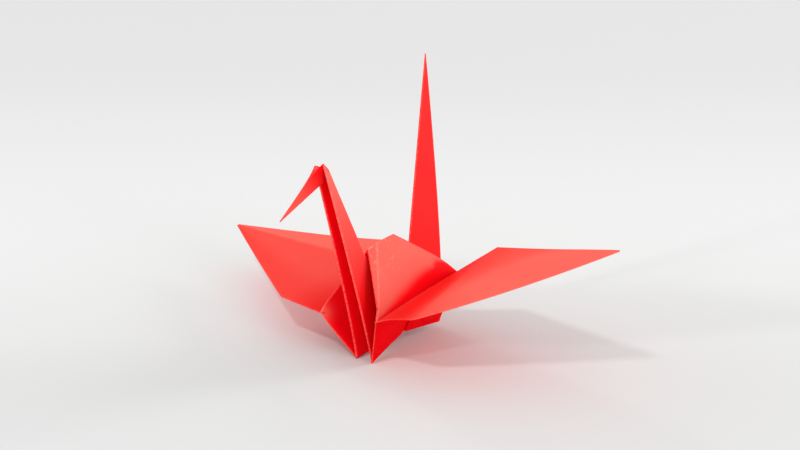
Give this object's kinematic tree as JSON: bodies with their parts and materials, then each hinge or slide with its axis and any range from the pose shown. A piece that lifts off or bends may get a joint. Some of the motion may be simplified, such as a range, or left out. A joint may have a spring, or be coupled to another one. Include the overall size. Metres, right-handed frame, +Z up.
{
  "type": "paper crane",
  "caption": "Red paper crane folded from one square sheet, with a puffed body, raised neck and tail, bent head and two spread wings.",
  "frame": {"origin": "on the ground, midway between the front and back feet in the middle of the body", "axes": "+X towards the crane's left wing tip, -Y forward to the head, +Z up"},
  "size_m": [0.1323, 0.0649, 0.0739],
  "materials": {
    "red_paper": "matte"
  },
  "bodies": {
    "root": {"folded_crane": "red_paper"}
  },
  "joints": []
}
